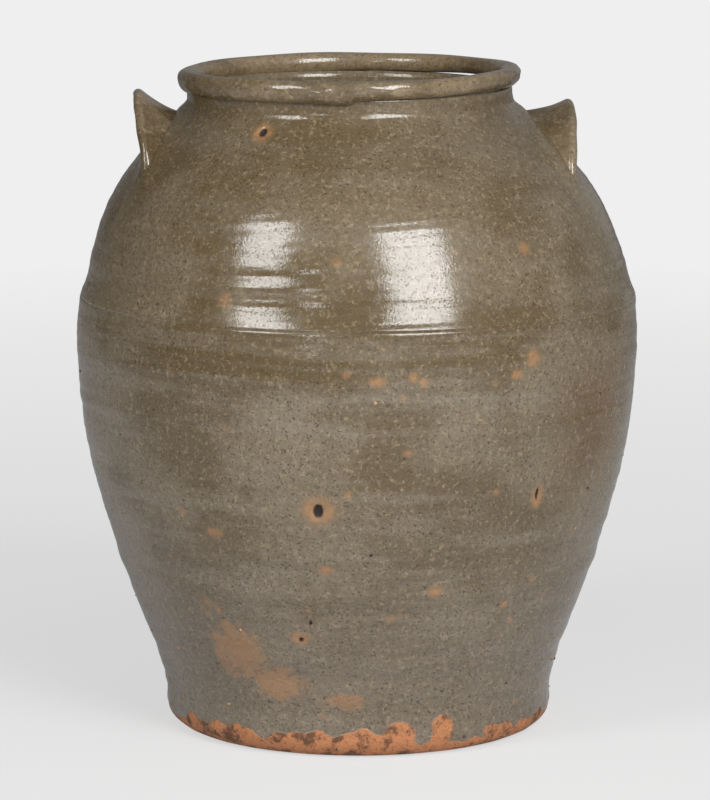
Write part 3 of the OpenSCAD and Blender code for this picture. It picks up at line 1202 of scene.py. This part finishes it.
@dataclass
class RimCoil:
    """Coil laid round the mouth and rolled over, whose ends lap at the front, in mm."""

    wall: Wall
    radius: float = 98.6
    mouth: float = 86.5
    top_h: float = 380.0
    power: float = 2.3
    section: int = 44
    tilt: float = 0.035
    tilt_bottom: float = 0.55
    tilt_top: float = 0.25
    lap_angle: float = -88.0
    lap: float = 1.9
    lap_run: float = 1.1
    lap_step: float = 0.03
    squash: float = 0.10
    dent: float = 0.18
    dents: int = 31
    bottom_waves: tuple[Wave, ...] = (Wave(5, 0.25), Wave(9, 0.2, 1.0))
    top_waves: tuple[Wave, ...] = (Wave(3, 0.35, 2.0), Wave(8, 0.2))
    thickness_waves: tuple[Wave, ...] = (Wave(4, 0.25, 1.0),)
    round_waves: tuple[Wave, ...] = (Wave(2, 0.3),)

    def build(self, glaze: bpy.types.Material) -> bpy.types.Object:
        """Builds the coil round the mouth.

        Args:
            glaze: the finish.

        Returns:
            The piece.
        """
        turn = self.wall.turn
        since = (math.radians(self.lap_angle) - turn) % FULL_TURN
        lap = self.lap * np.exp(-since / self.lap_run) * smooth(0, self.lap_step, since)
        tilt = self.tilt * self.radius * np.cos(turn)
        bottom = self.wall.outline.seat_h + self.tilt_bottom * tilt - lap
        bottom = bottom + ripple(self.bottom_waves, turn)
        top = self.top_h + self.tilt_top * tilt + ripple(self.top_waves, turn)
        half = (self.radius - self.mouth) / 2 + ripple(self.thickness_waves, turn)
        middle = (self.radius + self.mouth) / 2 + ripple(self.round_waves, turn)
        rings = []
        for k in range(self.section):
            angle = FULL_TURN * k / self.section - math.pi / 2
            c, s = math.cos(angle), math.sin(angle)
            across = math.copysign(abs(c) ** (2 / self.power), c)
            up = math.copysign(abs(s) ** (2 / self.power), s)
            z = (top + bottom) / 2 + up * (top - bottom) / 2
            drawn = 1 - self.squash * (1 - up) * (across > 0)
            dents = self.dent * np.sin(self.dents * turn + 4 * angle) * max(across, 0)
            rings.append(self.wall.ring(middle + across * half * drawn + dents, z))
        stack = np.array(rings)
        marks = self.wall.marks_of(stack, self.section)
        marks[Mark.BARE][:] = 0
        return keep(grid_mesh("jar_rim_coil", stack, True, marks, glaze), "glazed_rim",
                    "rim_coil")


@dataclass
class GritOnWall:
    """Kiln grit stuck on the glaze, scattered over the wall by Geometry Nodes, in mm."""

    host: bpy.types.Object
    outline: Outline
    name: str
    slot: str
    per_square_metre: float = 1500.0
    grain_mm: float = 0.75
    seed: int = 5
    sizes: tuple[float, float] = (0.35, 1.5)
    squat: float = 0.6
    wall_share: float = 0.12
    foot_share: float = 1.6
    foot_fade: float = 40.0
    lowest: float = 3.0
    skin: float = 4.0

    def tree(self, material: bpy.types.Material) -> bpy.types.NodeTree:
        """Makes the node tree that scatters the grit.

        Args:
            material: the grit's finish.

        Returns:
            The tree, with inputs for the mesh, density, grain and seed.
        """
        tree = bpy.data.node_groups.new(f"{self.name}_scatter", "GeometryNodeTree")
        face = tree.interface
        face.new_socket("Geometry", in_out="INPUT", socket_type="NodeSocketGeometry")
        for label, kind in (("Density", "NodeSocketFloat"), ("Grain", "NodeSocketFloat"),
                            ("Seed", "NodeSocketInt")):
            face.new_socket(label, in_out="INPUT", socket_type=kind)
        face.new_socket("Geometry", in_out="OUTPUT", socket_type="NodeSocketGeometry")
        surface = add(tree, Node.GROUP_IN)
        given = surface.node.outputs
        amount = add(tree, Node.NAMED, Name="grit")
        dense = add(tree, Node.PRODUCT, i0=given["Density"], i1=amount)
        points = add(tree, Node.SCATTER, Mesh=surface, Density=dense, Seed=given["Seed"])
        size = add(tree, Node.RANDOM, i2=self.sizes[0], i3=self.sizes[1], Seed=given["Seed"])
        grain = add(tree, Node.PRODUCT, i0=given["Grain"], i1=size)
        tall = add(tree, Node.PRODUCT, i0=grain, i1=self.squat)
        scale = add(tree, Node.COMBINE, X=grain, Y=grain, Z=tall)
        crumb = add(tree, Node.CRUMB, Radius=1.0, Subdivisions=2)
        placed = add(tree, Node.INSTANCES, Points=points, Instance=crumb, Scale=scale,
                     Rotation=points.node.outputs["Rotation"])
        real = add(tree, Node.REALIZE, Geometry=placed)
        done = add(tree, Node.SET_MATERIAL, Geometry=real, Material=material)
        add(tree, Node.GROUP_OUT, Geometry=done)
        return tree

    def build(self, material: bpy.types.Material) -> bpy.types.Object:
        """Scatters the grit and turns it into a plain mesh.

        Args:
            material: the grit's finish.

        Returns:
            The piece.
        """
        carrier = place_in_scene(
            bpy.data.objects.new(f"{self.name}_carrier", self.host.data.copy()))
        self.weigh(carrier.data)
        scatter = carrier.modifiers.new("scatter", "NODES")
        scatter.node_group = self.tree(material)
        values = {"Density": self.per_square_metre, "Grain": self.grain_mm * MM,
                  "Seed": self.seed}
        for item in scatter.node_group.interface.items_tree:
            if item.in_out == "INPUT" and item.name in values:
                scatter[item.identifier] = values[item.name]
        graph = bpy.context.evaluated_depsgraph_get()
        mesh = bpy.data.meshes.new_from_object(carrier.evaluated_get(graph))
        mesh.name = self.name
        bpy.data.objects.remove(carrier)
        return keep(place_in_scene(bpy.data.objects.new(self.name, mesh)), self.slot)

    def weigh(self, mesh: bpy.types.Mesh) -> None:
        """Writes how dense the grit is at each point, most on the outer foot.

        Args:
            mesh: the carrier's mesh, changed in place.
        """
        co = np.empty(len(mesh.vertices) * 3)
        mesh.vertices.foreach_get("co", co)
        x, y, z = co.reshape(-1, 3).T / MM
        inner = self.outline.inner(np.clip(z, self.outline.heel_r, self.outline.seat_h))
        outside = (np.hypot(x, y) > inner + self.skin) * (z > self.lowest)
        amount = outside * (self.wall_share + self.foot_share * np.exp(-z / self.foot_fade))
        layer = mesh.attributes.new("grit", "FLOAT", "POINT")
        layer.data.foreach_set("value", amount.astype(np.float32))


@dataclass(frozen=True)
class Softbox:
    """A softbox: its direction from the jar in degrees, its size and distance in metres."""

    name: str
    azimuth: float
    elevation: float
    width: float
    height: float
    watts: float
    distance: float = 2.2
    aim_h: float = 0.22

    def build(self) -> None:
        """Makes the lamp, facing the middle of the jar."""
        lamp = bpy.data.lights.new(self.name, "AREA")
        lamp.shape = "RECTANGLE"
        lamp.size, lamp.size_y, lamp.energy = self.width, self.height, self.watts
        obj = place_in_scene(bpy.data.objects.new(self.name, lamp))
        a, e = math.radians(self.azimuth), math.radians(self.elevation)
        obj.location = (self.distance * math.sin(a) * math.cos(e),
                        -self.distance * math.cos(a) * math.cos(e),
                        self.aim_h + self.distance * math.sin(e))
        obj.rotation_euler = (math.pi / 2 - e, 0, a)


@dataclass(frozen=True)
class PaperSweep:
    """Matt paper under and behind the jar, pale and plain, which keeps the jar's shadow."""

    name: str = "matt_paper_sweep"
    colour: str = "#d8d8d8"
    lit: str = "#efefef"
    radius: float = 14.0
    sides: int = 64
    near: tuple[float, float] = (0.3, 0.66)
    far: tuple[float, float] = (2.0, 1.0)

    def material(self) -> bpy.types.Material:
        """Makes the paper, which the camera sees as evenly lit as a backdrop far away.

        Returns:
            The material.
        """
        material, tree = new_material(self.name)
        paper = add(tree, Node.DIFFUSE, Color=linear(self.colour))
        lit = add(tree, Node.EMISSION, Color=linear(self.lit), Strength=1.0)
        away = add(tree, Node.LENGTH, i0=add(tree, Node.PLACE))
        lift = add(tree, Node.LEVELS, Value=away, From_Min=self.near[0], From_Max=self.far[0],
                   To_Min=self.near[1], To_Max=self.far[1])
        share = add(tree, Node.PRODUCT, i0=add(tree, Node.LIGHT_PATH), i1=lift)
        both = add(tree, Node.MIX_SHADER, i0=share, i1=paper, i2=lit)
        add(tree, Node.SURFACE, Surface=both)
        return material

    def build(self) -> None:
        """Makes the floor as one wide disc of paper."""
        mesh = bpy.data.meshes.new("paper_floor")
        angles = np.linspace(0, FULL_TURN, self.sides, endpoint=False)
        ring = [(self.radius * math.cos(t), self.radius * math.sin(t), 0) for t in angles]
        mesh.from_pydata(ring, [], [tuple(range(self.sides))])
        mesh.materials.append(self.material())
        place_in_scene(bpy.data.objects.new("paper_floor", mesh))


@dataclass(frozen=True)
class Studio:
    """Soft light round the jar and the camera of the photograph."""

    boxes: tuple[Softbox, ...] = (
        Softbox("key_right", 27, 28, 0.93, 1.35, 46),
        Softbox("fill_left", -43, 32, 0.66, 1.05, 22),
        Softbox("glint_left", -19, 11, 0.22, 0.30, 2.2),
    )
    air: str = "#f4f4f4"
    air_strength: float = 0.36
    left_share: float = 0.02
    camera_mm: tuple[float, float, float] = (-1.2, -2524.74, 606.03)
    pitch: float = 9.4356
    lens_px: float = 4416.0
    frame_px: float = 800.0
    sensor_mm: float = 36.0
    far_m: float = 60.0

    def build(self) -> None:
        """Makes the lamps, the air and the camera."""
        for box in self.boxes:
            box.build()
        self.light_air()
        data = bpy.data.cameras.new("camera")
        data.sensor_width = self.sensor_mm
        data.lens = self.lens_px * self.sensor_mm / self.frame_px
        data.clip_end = self.far_m
        camera = place_in_scene(bpy.data.objects.new("camera", data))
        camera.location = [v * MM for v in self.camera_mm]
        camera.rotation_euler = (math.radians(90 - self.pitch), 0, 0)
        bpy.context.scene.camera = camera
        bpy.context.scene.view_settings.view_transform = "Standard"

    def light_air(self) -> None:
        """Makes the world, darker on the left, where no wall throws light back."""
        world = bpy.data.worlds.new("studio_world")
        world.use_nodes = True
        tree = world.node_tree
        shade = tree.nodes["Background"]
        shade.inputs["Color"].default_value = linear(self.air)
        side = add(tree, Node.AXES, Vector=add(tree, Node.AROUND)).node.outputs["X"]
        side = add(tree, Node.LEVELS, Value=side, From_Min=-1.0, From_Max=0.4,
                   To_Min=self.left_share * self.air_strength, To_Max=self.air_strength)
        tree.links.new(side, shade.inputs["Strength"])
        bpy.context.scene.world = world


def main() -> None:
    """Builds the jar, piece by piece, then the studio round it."""
    logging.basicConfig(level=logging.INFO, format="%(name)s: %(message)s")
    outline = Outline()
    wall = Wall(outline, HandMade(), Marks(outline, SPOTS + RandomSpots().build()))
    left = Lug(wall, LugForm(Side.LEFT, "left_lug", 23, 40, 6, 4.0, 3))
    right = Lug(wall, LugForm(Side.RIGHT, "right_lug", 29, 39.5, 8, 4.0, 1))
    # The same glass all over: less grey on the steep shoulder, paler where it ran thin on the
    # rim and lugs, and glazed right down on the last two
    body_glaze = AshGlaze("ash_glaze_dipped_body").build()
    shoulder_glaze = AshGlaze("ash_glaze_dipped_shoulder", grey_share=0.3).build()
    rim_glaze = AshGlaze("ash_glaze_wiped_rim", main="#8b7960", clay_share=0.0).build()
    lug_glaze = AshGlaze("ash_glaze_dipped_lug", main="#80705a", clay_share=0.0).build()
    lower = LowerSection(wall).build(body_glaze)
    UpperSection(wall, (left, right)).build(shoulder_glaze)
    RimCoil(wall).build(rim_glaze)
    left.build(lug_glaze)
    right.build(lug_glaze)
    GritOnWall(lower, outline, "jar_kiln_grit", "glazed_body").build(KilnGrit().build())
    PaperSweep().build()
    Studio().build()
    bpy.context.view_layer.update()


if __name__ == "__main__":
    main()
